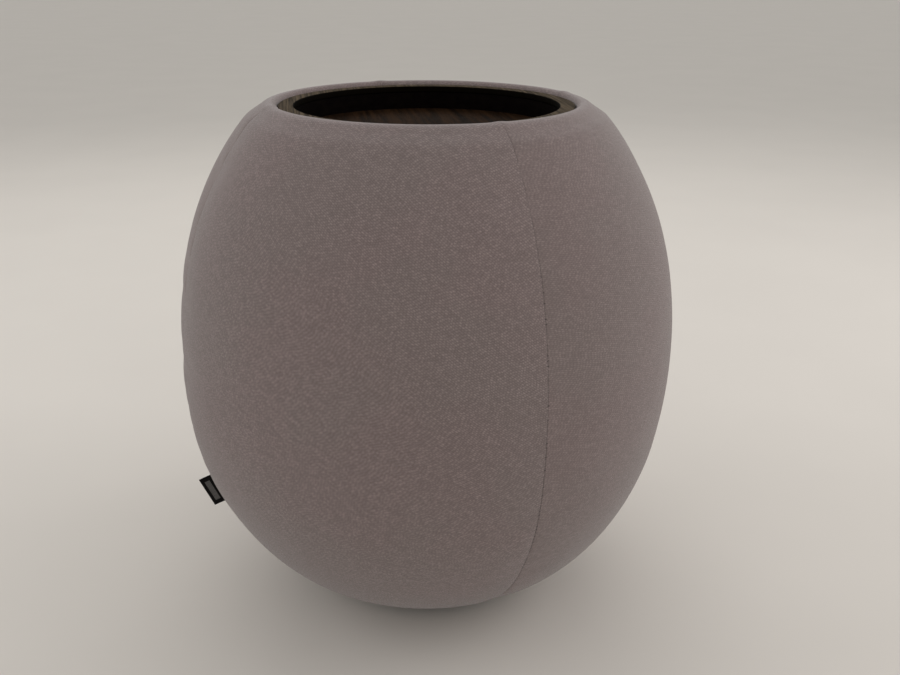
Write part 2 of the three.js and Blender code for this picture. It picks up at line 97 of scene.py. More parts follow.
class Shader:
    """One material's nodes. Each call adds a node and returns the socket that it gives."""

    def __init__(self, name, roughness=0.9, specular=0.3, metallic=0.0, sheen=0.0, sheen_roughness=0.5):
        self.material = bpy.data.materials.new(name)
        self.material.use_nodes = True
        self.tree = self.material.node_tree
        self.bsdf = self.tree.nodes["Principled BSDF"]
        fixed = {
            "Roughness": roughness,
            "Specular IOR Level": specular,
            "Metallic": metallic,
            "Sheen Weight": sheen,
            "Sheen Roughness": sheen_roughness,
        }
        for key, value in fixed.items():
            self.bsdf.inputs[key].default_value = value

    def feed(self, socket, value):
        if isinstance(value, bpy.types.NodeSocket):
            self.tree.links.new(value, socket)
        else:
            socket.default_value = value

    def node(self, kind, inputs, **settings):
        node = self.tree.nodes.new("ShaderNode" + kind)
        for key, value in settings.items():
            setattr(node, key, value)
        for key, value in inputs.items():
            self.feed(node.inputs[key], value)
        return node

    def math(self, operation, *values):
        return self.node("Math", dict(enumerate(values)), operation=operation).outputs[0]

    def add(self, *values):
        total = values[0]
        for value in values[1:]:
            total = self.math("ADD", total, value)
        return total

    def times(self, *values):
        total = values[0]
        for value in values[1:]:
            total = self.math("MULTIPLY", total, value)
        return total

    def spread(self, value, low, high):
        """Maps 0..1 to low..high."""
        return self.add(self.times(value, high - low), low)

    def sway(self, value, reach):
        """Maps 0..1 to -reach..reach."""
        return self.spread(value, -reach, reach)

    def fraction(self, value):
        return self.math("FRACT", value)

    def arch(self, value):
        """0 at both ends of 0..1 and 1 in the middle."""
        away = self.sway(value, 1.0)
        return self.math("SUBTRACT", 1.0, self.times(away, away))

    def length(self, x, y):
        return self.math("SQRT", self.add(self.times(x, x), self.times(y, y)))

    def choose(self, factor, a, b):
        """a where factor is 0, b where it is 1."""
        return self.add(self.times(a, self.math("SUBTRACT", 1.0, factor)), self.times(b, factor))

    def smooth(self, value, start, end):
        keys = {"Value": value, "From Min": start, "From Max": end}
        return self.node("MapRange", keys, interpolation_type="SMOOTHSTEP").outputs[0]

    def vector(self, x, y, z=0.0):
        return self.node("CombineXYZ", {0: x, 1: y, 2: z}).outputs[0]

    def split(self, vector):
        return self.node("SeparateXYZ", {0: vector}).outputs

    def place(self, scale=(1.0, 1.0, 1.0), turn=0.0):
        """Object coordinates in millimetres, turned about Z and then scaled."""
        source = self.tree.nodes.new("ShaderNodeTexCoord").outputs["Object"]
        inputs = {"Vector": source, "Rotation": (0, 0, math.radians(turn)), "Scale": (1000,) * 3}
        turned = self.node("Mapping", inputs).outputs[0]
        return self.node("VectorMath", {0: turned, 1: scale}, operation="MULTIPLY").outputs[0]

    def painted(self, name):
        """The two coordinates of a mesh's UV map, in millimetres."""
        first, second, _ = self.split(self.node("UVMap", {}, uv_map=name).outputs[0])
        return self.times(first, 1 / MM), self.times(second, 1 / MM)

    def noise(self, vector=None, scale=1.0, detail=2.0, roughness=0.5, distortion=0.0):
        """Cloudy values about 0.5. They lie in the object where no vector is given."""
        place = self.place() if vector is None else vector
        look = dict(Scale=scale, Detail=detail, Roughness=roughness, Distortion=distortion)
        return self.node("TexNoise", {"Vector": place, **look}).outputs[0]

    def cells(self, scale, randomness=1.0):
        """The distance from the nearest of many points in the object."""
        inputs = {"Vector": self.place(), "Scale": scale, "Randomness": randomness}
        return self.node("TexVoronoi", inputs).outputs["Distance"]

    def dice(self, vector):
        return self.node("TexWhiteNoise", {"Vector": vector}, noise_dimensions="3D").outputs["Value"]

    def blend(self, factor, a, b):
        """A colour: a where factor is 0, b where it is 1."""
        node = self.node("Mix", {0: factor}, data_type="RGBA")
        for index, value in ((6, a), (7, b)):
            self.feed(node.inputs[index], (*value, 1.0) if isinstance(value, tuple) else value)
        return node.outputs[2]

    def tone(self, colour, factor):
        """A colour made lighter or darker by a factor."""
        return self.node("VectorMath", {0: colour, "Scale": factor}, operation="SCALE").outputs[0]

    def finish(self, colour=None, height=None, relief=0.1, roughness=None):
        """relief is how high the bump stands, in millimetres, where the height goes from 0 to 1."""
        if colour is not None:
            self.feed(self.bsdf.inputs["Base Color"], colour)
        if roughness is not None:
            self.feed(self.bsdf.inputs["Roughness"], roughness)
        if height is not None:
            bump = self.node("Bump", {"Height": height, "Strength": 1.0, "Distance": relief * MM})
            self.feed(self.bsdf.inputs["Normal"], bump.outputs[0])
        return self.material


def twill(s, u, v):
    """A 2/2 twill whose wales go down to the right. u and v count yarns.

    Gives the height, 1 where the weft lies on top, and a random value for each float.
    """
    REPEAT, FLOAT = 4.0, 2.0
    FLOAT_END = 0.35  # how high a float still stands at its ends
    column, row = s.math("FLOOR", u), s.math("FLOOR", v)
    across, along = s.fraction(u), s.fraction(v)
    step = s.math("DIVIDE", s.add(column, row), REPEAT)
    phase = s.times(s.fraction(step), REPEAT)
    on_weft = s.math("GREATER_THAN", phase, FLOAT - 0.5)
    warp_run = s.math("DIVIDE", s.add(phase, along), FLOAT)
    weft_run = s.math("DIVIDE", s.add(phase, across, -FLOAT), FLOAT)
    run = s.choose(on_weft, warp_run, weft_run)
    side = s.choose(on_weft, across, along)
    height = s.times(s.arch(side), s.spread(s.arch(run), FLOAT_END, 1.0))
    yarn = s.choose(on_weft, column, row)
    luck = s.dice(s.vector(yarn, s.math("FLOOR", step), on_weft))
    return height, on_weft, luck


# ---- Materials ----

def cover_material(name, rosy, grey, slant, contrast):
    """Melange upholstery cloth: short slanting floats, slubs, a dry fuzz, and needle holes along the seams.

    slant is how far the floats lean down to the right, in degrees.
    """
    WALE, FLOAT = 1.6, 3.1
    WANDER, RAGGED = 0.7, 0.6  # how far the yarns and their edges stray, in wales
    # How much lighter or darker each of them makes the cloth.
    VALLEY, CREST = -0.4, 0.52
    LUCK, FUZZ, FIBRE, SLUB, PATCH, CLOUD = 0.06, 0.22, 0.3, 0.06, 0.02, 0.05
    s = Shader(name, roughness=0.92, specular=0.15, sheen=0.3, sheen_roughness=0.45)
    across, along = s.painted("weave")

    def cloth_noise(scale, layer=0.0, **kind):
        return s.noise(s.vector(s.times(across, scale), s.times(along, scale), layer), **kind)

    lean = math.radians(slant)
    drift = s.add(s.sway(cloth_noise(0.06, detail=1.0), WANDER), s.sway(cloth_noise(1.6, 9.0), RAGGED))
    run = s.add(s.times(across, math.cos(lean) / FLOAT), s.times(along, -math.sin(lean) / FLOAT), drift)
    side = s.add(s.times(across, math.sin(lean) / WALE), s.times(along, math.cos(lean) / WALE), drift)
    fibre = s.noise(s.vector(s.times(run, 1.3), s.times(side, 6.0), 2.0))
    wale = s.math("FLOOR", side)
    run = s.add(run, s.dice(s.vector(wale, 0.5)))
    luck = s.dice(s.vector(wale, s.math("FLOOR", run), 3.0))
    height = s.times(s.arch(s.fraction(run)), s.arch(s.fraction(side)), s.spread(luck, 0.5, 1.0))

    # A few floats are thick pale slubs. The fuzz blurs all of them, and the dye is a little cloudy.
    slub = s.smooth(luck, 0.88, 0.98)
    fuzz = cloth_noise(1.1, detail=3.0, roughness=0.65)
    patch = cloth_noise(0.03)
    cloud = cloth_noise(0.009, 5.0, detail=3.0)
    shade = s.add(s.sway(luck, LUCK), s.spread(height, VALLEY, CREST), s.sway(fuzz, FUZZ))
    shade = s.times(s.add(shade, s.sway(fibre, FIBRE), s.times(slub, SLUB)), contrast)
    shade = s.add(shade, s.spread(patch, 1 - PATCH, 1 + PATCH), s.sway(cloud, CLOUD))

    hole, shadow = seam_marks(s)
    shade = s.times(shade, s.spread(hole, 1.0, 0.35), s.math("SUBTRACT", 1.0, shadow))
    colour = s.tone(s.blend(s.smooth(cloud, 0.4, 0.6), rosy, grey), shade)
    relief = s.add(height, s.times(slub, 0.3), s.times(fuzz, 0.5), s.times(fibre, 0.5), s.times(hole, -1.2))
    return s.finish(colour, relief, relief=0.3 * contrast)


def seam_marks(s):
    """The needle holes beside a seam, which are pulled shut near the lip, and the shadow in the seam."""
    HOLE_OUT, HOLE_RIM, HOLE_CORE = 0.45, 0.75, 0.3
    SHADOW_RIM, SHADOW_CORE = 0.9, 0.1
    TAUT_FROM, TAUT_TO = 400, 480  # millimetres along the cover's path
    away, along = s.painted("seam")
    slack = s.smooth(along, TAUT_TO, TAUT_FROM)
    stitches = s.times(along, 1 / STITCH)
    pull = s.dice(s.vector(s.math("FLOOR", stitches), 8.0))
    up = s.times(s.add(s.fraction(stitches), -0.5), STITCH)
    hole = s.smooth(s.length(up, s.add(away, -HOLE_OUT)), HOLE_RIM, HOLE_CORE)
    hole = s.times(hole, s.smooth(pull, 0.2, 0.8), slack)
    tight = s.smooth(s.noise(s.vector(s.times(stitches, 0.08), 2.0), detail=1.0), 0.35, 0.65)
    depth = s.times(s.spread(tight, 0.02, 0.14), s.spread(slack, 0.2, 1.0))
    return hole, s.times(s.smooth(away, SHADOW_RIM, SHADOW_CORE), depth)


def wood_material(name, light, dark, pitch, roughness, contrast=1.0, upright_stain_and_shade=None):
    """Straight grain from front to back: broad bands, fine pores and a few darker veins.

    The colour for the upright faces, where one is given, replaces the wood's own there: it is partly a dark
    stain and partly painted shade.
    """
    GRAIN_TURN = -7.5  # degrees about Z from the front-to-back line
    BAND_EDGE = 0.22 / contrast
    s = Shader(name, roughness=roughness, specular=0.02)
    band_place = s.place((1 / pitch, 0.012, 1 / pitch), GRAIN_TURN)
    vein_place = s.place((0.5 / pitch, 0.003, 0.5 / pitch), GRAIN_TURN)
    bands = s.noise(band_place, scale=0.8, detail=3.0, distortion=0.25)
    veins = s.noise(vein_place, scale=0.6, detail=1.0, distortion=0.6)
    pores = s.noise(s.place((3.2, 0.09, 3.2), GRAIN_TURN), detail=1.0)
    pore = s.smooth(pores, 0.52, 0.68)
    band = s.smooth(bands, 0.5 - BAND_EDGE, 0.5 + BAND_EDGE)
    vein = s.smooth(veins, 0.56, 0.7)
    shade = s.times(s.spread(pore, 1.06, 0.74), s.spread(vein, 1.0, 0.72))
    colour = s.tone(s.blend(band, dark, light), shade)
    # Upright faces take the near-black colour: partly dark stain, partly painted shade.
    if upright_stain_and_shade is not None:
        facing = s.split(s.node("TexCoord", {}).outputs["Normal"])[2]
        colour = s.blend(s.smooth(facing, 0.75, 0.95), upright_stain_and_shade, colour)
    gloss = s.add(s.spread(bands, roughness - 0.07, roughness + 0.07), s.times(pore, 0.12))
    height = s.math("SUBTRACT", s.times(bands, 0.3), pore)
    return s.finish(colour, height, 0.05, gloss)


def plywood_material():
    """Birch veneer, with its plies as thin stripes wherever an edge shows."""
    s = Shader("birch plywood", roughness=0.62, specular=0.3)
    grain = s.noise(s.place((0.45, 0.02, 0.45)), detail=4.0, distortion=0.3)
    flecks = s.smooth(s.noise(s.place((2.4, 0.12, 2.4)), detail=1.0), 0.58, 0.7)
    colour = s.blend(grain, (0.42, 0.27, 0.14), (0.66, 0.48, 0.29))
    colour = s.tone(colour, s.spread(flecks, 1.0, 0.8))
    return s.finish(colour, grain, 0.08, s.spread(grain, 0.52, 0.7))


def fibre_material(name, light, dark, size, relief, sheen=0.3):
    """Matted fibres without a weave, as in felt or wadding. size is a tuft's, in millimetres."""
    s = Shader(name, roughness=0.95, specular=0.15, sheen=sheen)
    tufts = s.noise(scale=1 / size, detail=5.0, roughness=0.75, distortion=1.2)
    clumps = s.noise(scale=0.12 / size)
    colour = s.blend(s.smooth(tufts, 0.3, 0.7), dark, light)
    return s.finish(s.tone(colour, s.spread(clumps, 0.8, 1.2)), tufts, relief)


def foam_material():
    """Open-celled polyurethane foam: round cells with paler struts."""
    s = Shader("polyurethane foam", roughness=0.95, specular=0.15)
    cells = s.cells(0.8)
    cloud = s.noise(scale=0.02)
    colour = s.blend(s.smooth(cells, 0.1, 0.7), (0.46, 0.37, 0.17), (0.74, 0.65, 0.4))
    return s.finish(s.tone(colour, s.spread(cloud, 0.86, 1.1)), cells, 0.5)


def tape_material(name, light, dark, pitch=1.1):
    """Woven tape that runs round the table: herringbone, from the angle round it and from the radius."""
    MEAN_RADIUS = 90.0
    s = Shader(name, roughness=0.85, specular=0.2, sheen=0.2)
    x, y, z = s.split(s.place())
    angle = s.math("ARCTAN2", x, y)
    across = s.times(s.add(s.length(x, y), z), 1 / pitch)
    ridge = s.math("PINGPONG", across, 2.0)
    height, on_weft, luck = twill(s, s.add(s.times(angle, MEAN_RADIUS / pitch), ridge), across)
    shade = s.times(s.spread(luck, 0.8, 1.2), s.spread(height, 0.6, 1.1))
    return s.finish(s.tone(s.blend(on_weft, light, dark), shade), height, 0.15)


def hook_material(name, colour, loops):
    """Hook tape's stiff stubble, or loop tape's soft tangle."""
    s = Shader(name, roughness=0.8, specular=0.25, sheen=0.3 if loops else 0.0)
    if loops:
        pile = s.noise(scale=1.4, detail=4.0, roughness=0.7, distortion=2.0)
    else:
        pile = s.smooth(s.cells(0.8, 0.15), 0.55, 0.15)
    return s.finish(s.tone(colour, s.spread(pile, 0.5, 1.5)), pile, 0.6)


def bottom_cloth_material():
    """Black spun cloth with its pattern of small welded dimples."""
    PITCH = 1.6
    s = Shader("spunbond cloth", roughness=0.8, specular=0.25, sheen=0.15)
    x, y, _ = s.split(s.place((1 / PITCH,) * 3, turn=45))
    dimple = s.times(s.arch(s.fraction(x)), s.arch(s.fraction(y)))
    fibres = s.noise(scale=1.8, detail=4.0, distortion=1.5)
    weld = s.smooth(dimple, 0.45, 0.8)
    colour = s.blend(s.smooth(fibres, 0.35, 0.7), (0.012, 0.012, 0.013), (0.05, 0.05, 0.052))
    return s.finish(s.tone(colour, s.spread(weld, 1.0, 0.55)), s.add(fibres, s.times(weld, -1.0)), 0.12)


def plastic_material(name, colour, roughness):
    """Moulded plastic with a fine eroded texture and rubbed patches."""
    s = Shader(name, roughness=roughness, specular=0.4)
    texture = s.noise(scale=2.2, detail=3.0)
    wear = s.smooth(s.noise(scale=0.22, detail=4.0, distortion=0.6), 0.5, 0.72)
    shade = s.tone(colour, s.add(s.spread(texture, 0.85, 1.15), s.times(wear, 0.5)))
    return s.finish(shade, texture, 0.05, s.spread(wear, roughness, roughness + 0.2))


def steel_material():
    """Zinc-plated steel, a little clouded."""
    s = Shader("zinc plated steel", roughness=0.35, metallic=1.0)
    cloud = s.noise(scale=0.6, detail=4.0, distortion=0.5)
    scratches = s.noise(s.place((0.4, 6.0, 6.0), turn=20))
    colour = s.blend(cloud, (0.42, 0.43, 0.44), (0.66, 0.66, 0.64))
    return s.finish(colour, scratches, 0.02, s.spread(cloud, 0.26, 0.48))


def label_material():
    """Black satin-woven label with one plain pale bar where a maker's words would be."""
    PICKS, ENDS = 1 / 0.45, 2.0  # threads to a millimetre
    BAR_LENGTH, BAR_WIDTH, BAR_OUT, EDGE = 23.0, 4.6, 10.4, 0.3
    s = Shader("woven label", roughness=0.7, specular=0.08, sheen=0.03)
    along, out = s.painted("weave")
    picks = s.times(along, PICKS)
    ribs = s.arch(s.fraction(picks))
    thread = s.dice(s.vector(s.math("FLOOR", picks), s.math("FLOOR", s.times(out, ENDS))))
    inside = s.times(
        s.smooth(s.math("ABSOLUTE", along), BAR_LENGTH / 2 + EDGE, BAR_LENGTH / 2),
        s.smooth(s.math("ABSOLUTE", s.add(out, -BAR_OUT)), BAR_WIDTH / 2 + EDGE, BAR_WIDTH / 2),
    )
    colour = s.blend(inside, (0.006, 0.005, 0.005), (0.13, 0.125, 0.12))
    colour = s.tone(colour, s.times(s.spread(thread, 0.75, 1.25), s.spread(ribs, 0.6, 1.1)))
    return s.finish(colour, s.add(ribs, s.times(inside, 0.8)), 0.1)


def thread_material():
    s = Shader("sewing thread", roughness=0.6, specular=0.35, sheen=0.2)
    twist = s.noise(s.place((3.0, 3.0, 3.0), turn=40))
    return s.finish(s.blend(twist, (0.1, 0.085, 0.08), (0.24, 0.2, 0.19)), twist, 0.08)


def floor_material():
    s = Shader("pale floor", roughness=0.75, specular=0.25)
    cloud = s.noise(scale=0.004, detail=4.0)
    return s.finish(s.tone((0.68, 0.645, 0.6), s.spread(cloud, 0.97, 1.03)))


MATERIALS = {
    "cover_front": cover_material("cover cloth", (0.216, 0.169, 0.163), (0.208, 0.167, 0.16),
                                  slant=38, contrast=0.64),
    "cover_side": cover_material("cover cloth turned", (0.214, 0.167, 0.161), (0.206, 0.165, 0.158),
                                 slant=14, contrast=0.52),
    # The rim's upright faces are painted near-black like the recess wall: partly dark stain, partly painted
    # shade.
    "rim": wood_material("tray rim wood", (0.092, 0.068, 0.043), (0.024, 0.017, 0.01), pitch=1.2,
                         roughness=0.7, contrast=1.7, upright_stain_and_shade=(0.003, 0.002, 0.001)),
    # The recess wall's near-black is partly a dark stain and partly painted shade.
    "wall": wood_material("tray wall wood", (0.004, 0.0025, 0.002), (0.002, 0.001, 0.001), pitch=6.0,
                          roughness=0.75),
    # The recess floor's dark brown is partly the stained wood's own and partly painted shade.
    "floor": wood_material("tray floor wood", (0.026, 0.013, 0.006), (0.008, 0.004, 0.002), pitch=3.5,
                           roughness=0.75, contrast=1.2),
    "plywood": plywood_material(),
    "foam": foam_material(),
    "wadding": fibre_material("polyester wadding", (0.85, 0.84, 0.81), (0.62, 0.61, 0.58), 3.0, 0.8),
    "felt": fibre_material("wool felt", (0.06, 0.055, 0.052), (0.02, 0.018, 0.017), 0.9, 0.3),
    "bottom": bottom_cloth_material(),
    "tape": tape_material("woven tape", (0.09, 0.078, 0.07), (0.05, 0.043, 0.04)),
    "hooks": hook_material("hook tape", (0.03, 0.029, 0.028), loops=False),
    "loops": hook_material("loop tape", (0.045, 0.042, 0.04), loops=True),
    "plastic": plastic_material("glide plastic", (0.02, 0.02, 0.021), 0.42),
    "coil": plastic_material("zip nylon", (0.045, 0.04, 0.038), 0.35),
    "steel": steel_material(),
    "label": label_material(),
    "thread": thread_material(),
}


# ---- Mesh helpers ----

def make_mesh(name, points, faces, smooth_angle=40):
    """points are in millimetres."""
    mesh = bpy.data.meshes.new(name)
    mesh.from_pydata((np.asarray(points, dtype=float) * MM).tolist(), [], faces)
    mesh.validate()
    bm = bmesh.new()
    bm.from_mesh(mesh)
    bmesh.ops.recalc_face_normals(bm, faces=bm.faces)
    bm.to_mesh(mesh)
    bm.free()
    mesh.shade_smooth()
    mesh.set_sharp_from_angle(angle=math.radians(smooth_angle))
    return mesh


def new_object(name, data):
    """An object that stands in the scene."""
    item = bpy.data.objects.new(name, data)
    bpy.context.scene.collection.objects.link(item)
    return item


def make_piece(name, mesh, material, body="root", replaces=()):
    piece = new_object(name, mesh)
    mesh.materials.clear()
    mesh.materials.append(MATERIALS[material])
    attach(piece, body)
    if replaces:
        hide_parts(*replaces)
    return piece


def grid_faces(rows, columns, close_rows=False, close_columns=False, caps=False):
    """Faces of a grid of points stored row by row. caps are faces on its first and last row."""
    faces = []
    for i in range(rows if close_rows else rows - 1):
        this, following = i * columns, (i + 1) % rows * columns
        for j in range(columns if close_columns else columns - 1):
            beside = (j + 1) % columns
            faces.append((this + j, this + beside, following + beside, following + j))
    if caps:
        faces += [tuple(range(columns)), tuple(range((rows - 1) * columns, rows * columns))]
    return faces


def around(radii, azimuths, heights):
    """Points from their radii, azimuths and heights."""
    radii, angles, heights = np.broadcast_arrays(radii, np.radians(azimuths), heights)
    return np.stack([radii * np.sin(angles), -radii * np.cos(angles), heights], axis=-1)


def turned_points(profile, azimuths):
    """Profile points at every azimuth, row by row."""
    profile = np.asarray(profile, dtype=float)
    return around(profile[:, :1], azimuths, profile[:, 1:]).reshape(-1, 3)


def headings(path):
    """A path's unit direction at each of its points."""
    steps = np.gradient(np.asarray(path, dtype=float), axis=0)
    return steps / np.linalg.norm(steps, axis=1)[:, None]


def lathe(profile, start=0.0, arc=360.0, step=2.0):
    """A solid: a closed profile turned all the way round, or through an arc with its two ends closed."""
    count = max(int(round(arc / step)), 3)
    whole = arc >= 360
    azimuths = start + np.arange(count if whole else count + 1) * arc / count
    rows, columns = len(profile), len(azimuths)
    faces = grid_faces(rows, columns, close_rows=True, close_columns=whole)
    if not whole:
        faces.append(tuple(i * columns for i in range(rows)))
        faces.append(tuple(i * columns + columns - 1 for i in reversed(range(rows))))
    return turned_points(profile, azimuths), faces


HAIR = 0.01  # how far a solid's points stay away from the axis, so that its faces keep their area


def solid(profile):
    """A profile that starts and ends on the axis, kept a hair away from it."""
    return [(max(r, HAIR), z) for r, z in profile]


def eased(profile, ease, cuts=3):
    """Rounds the corners of a closed profile, apart from those on the axis."""
    LONGEST = 0.45  # the share of a side that one corner may take
    points = [np.array(p, dtype=float) for p in profile]
    line = []
    for before, corner, after in zip(points[-1:] + points[:-1], points, points[1:] + points[:1]):
        if corner[0] < 1:
            line.append(tuple(corner))
            continue
        start = corner + (before - corner) * min(ease / np.linalg.norm(before - corner), LONGEST)
        end = corner + (after - corner) * min(ease / np.linalg.norm(after - corner), LONGEST)
        for k in range(cuts + 1):
            t = k / cuts
            line.append(tuple((1 - t) ** 2 * start + 2 * t * (1 - t) * corner + t * t * end))
    return line


def box_profile(inner, outer, bottom, top):
    return [(inner, bottom), (outer, bottom), (outer, top), (inner, top)]


def spun_piece(name, profile, material, slot, body="root", replaces=(), **sweep):
    return make_piece(name, make_mesh(name, *lathe(profile, **sweep)), material, body, replaces)


def band(name, node, inner, outer, ease, material, slot, body="root", cuts=3, **sweep):
    """A ring with eased edges that stands for a node and is as high as it."""
    profile = eased(box_profile(inner, outer, low(node), high(node)), ease, cuts)
    spun_piece(name, profile, material, slot, body, (node,), **sweep)


def spun_on(node, name, profile, material, body="root", smooth_angle=40):
    """A small turned piece that stands for a node, and stands where it does."""
    middle = centre(node)
    points, faces = lathe(profile, step=6)
    mesh = make_mesh(node, points + np.array([middle.x, middle.y, 0]), faces, smooth_angle)
    make_piece(name, mesh, material, body, (node,))


def eased_copy(node, material, ease=0.5, body="root"):
    """A CAD node's own shape with its edges eased, which then stands for it."""
    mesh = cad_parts[node].data.copy()
    bm = bmesh.new()
    bm.from_mesh(mesh)
    bmesh.ops.remove_doubles(bm, verts=bm.verts, dist=1e-6)
    bmesh.ops.dissolve_limit(bm, angle_limit=math.radians(1), verts=bm.verts, edges=bm.edges)
    sharp = [e for e in bm.edges if len(e.link_faces) == 2 and e.calc_face_angle() > math.radians(40)]
    bmesh.ops.bevel(bm, geom=sharp, offset=ease * MM, segments=2, profile=0.6, affect="EDGES")
    bm.to_mesh(mesh)
    bm.free()
    mesh.shade_smooth()
    mesh.set_sharp_from_angle(angle=math.radians(35))
    return make_piece(f"{node}_eased", mesh, material, body, (node,))


def tube(path, radius, sides=6):
    """A closed tube along a path, with flat ends."""
    heading = headings(path)
    side = np.cross(heading, (0, 0, 1.0))
    side /= np.linalg.norm(side, axis=1)[:, None]
    up = np.cross(side, heading)
    angles = np.linspace(0, 2 * np.pi, sides, endpoint=False)[:, None]
    rings = side[:, None] * np.cos(angles) + up[:, None] * np.sin(angles)
    points = (np.asarray(path)[:, None] + radius * rings).reshape(-1, 3)
    return points, grid_faces(len(path), sides, close_columns=True, caps=True)


def smoothstep(value, start, end):
    t = np.clip((np.asarray(value, dtype=float) - start) / (end - start), 0, 1)
    return t * t * (3 - 2 * t)


# ---- The barrel's outline ----

def barrel_point(angle):
    power, reach = (UPPER_POWER, UPPER_REACH) if angle > 0 else (LOWER_POWER, -LOWER_REACH)
    return (
        BODY_RADIUS * math.cos(angle) ** (2 / power),
        BELLY_HEIGHT + reach * abs(math.sin(angle)) ** (2 / power),
    )


def roll_point(centre_radius, centre_height, roll, angle):
    return centre_radius + roll * math.cos(angle), centre_height + roll * math.sin(angle)


def bend(a, b, c):
    """More than 0 where the way from a by b to c bends to the left."""
    return (b[0] - a[0]) * (c[1] - b[1]) - (b[1] - a[1]) * (c[0] - b[0])


def stretch_over(points):
    """The line that cloth takes when it is pulled tight over points, from the lowest to the highest."""
    line = []
    for point in sorted(points, key=lambda p: p[1]):
        while len(line) > 1 and bend(line[-2], line[-1], point) <= 0:
            line.pop()
        line.append(point)
    return line


def barrel_outline():
    SAMPLES = 400
    LOWEST, HIGHEST = -1.15, 0.84  # radians, as barrel_point takes them
    points = []
    for i in range(SAMPLES + 1):
        share = i / SAMPLES
        quarter = math.pi / 2 * share
        points.append(barrel_point(LOWEST + (HIGHEST - LOWEST) * share))
        points.append(roll_point(BASE_FLAT_RADIUS, COVER_BASE + BASE_ROLL, BASE_ROLL, -quarter))
        points.append(roll_point(LIP_TOP_RADIUS, BODY_HEIGHT - LIP_ROLL, LIP_ROLL, quarter))
    return stretch_over(points)


def cover_path():
    """The flange under the base, the barrel, the lip's inner edge and the skirt behind the tray."""
    STEPS = 12
    path = [(COVER_FLANGE_RADIUS, COVER_BASE), *barrel_outline()]
    for i in range(1, STEPS + 1):
        angle = math.pi / 2 * (1 + i / STEPS)
        path.append((
            LIP_TOP_RADIUS + (LIP_TOP_RADIUS - SKIRT_RADIUS) * math.cos(angle),
            BODY_HEIGHT - LIP_EDGE_ROLL + LIP_EDGE_ROLL * math.sin(angle),
        ))
    path.append((SKIRT_RADIUS, SKIRT_BOTTOM))
    return path


class Line:
    """A profile resampled at even steps, closer where it bends, with its lengths and outward normals."""

    BEND = 7.0  # millimetres of extra travel for each radian that the line turns

    def __init__(self, points, spacing):
        raw = np.array(points, dtype=float)
        steps = np.diff(raw, axis=0)
        apart = np.hypot(*steps.T) > 1e-6
        raw = raw[np.append(True, apart)]
        steps = np.diff(raw, axis=0)
        lengths = np.hypot(*steps.T)
        slopes = np.unwrap(np.arctan2(steps[:, 1], steps[:, 0]))
        turns = np.abs(np.diff(slopes, append=slopes[-1]))
        travel = np.append(0, np.cumsum(lengths + self.BEND * turns))
        even = np.linspace(0, travel[-1], int(travel[-1] / spacing) + 1)
        self.points = np.stack([np.interp(even, travel, raw[:, k]) for k in (0, 1)], axis=1)
        self.normals = headings(self.points)[:, ::-1] * (1, -1)
        self.radii, self.heights = self.points.T
        self.lengths = np.append(0, np.cumsum(np.hypot(*np.diff(self.points, axis=0).T)))

    def offset(self, distance):
        """Moved outwards by a distance, or by one for every row."""
        return self.points + self.normals * np.broadcast_to(distance, len(self.points))[:, None]


# ---- The cover ----

INSET = 1.3  # how far inside the outline the seams stay, so that the crowned gores reach it
PATH = cover_path()


def outside(radii):
    """True on the barrel and its lip, False on the skirt behind the lip."""
    return radii > SKIRT_RADIUS + 1


def fullness(line):
    """1 on the barrel, and 0 at its base, at the lip and behind it, where the cloth lies on its frame."""
    low_end = smoothstep(line.heights, 30, 140)
    high_end = 1 - smoothstep(line.heights, BODY_HEIGHT - 60, BODY_HEIGHT - 3)
    return low_end * high_end * outside(line.radii)


def seam_depth(line):
    """How far inside the outline the seams lie. The stuffing is also a little thinner low on the barrel."""
    THINNER = 1.8
    thinner = THINNER * smoothstep(line.heights, 12, 45) * (1 - smoothstep(line.heights, 95, 170))
    return INSET * fullness(line) + thinner


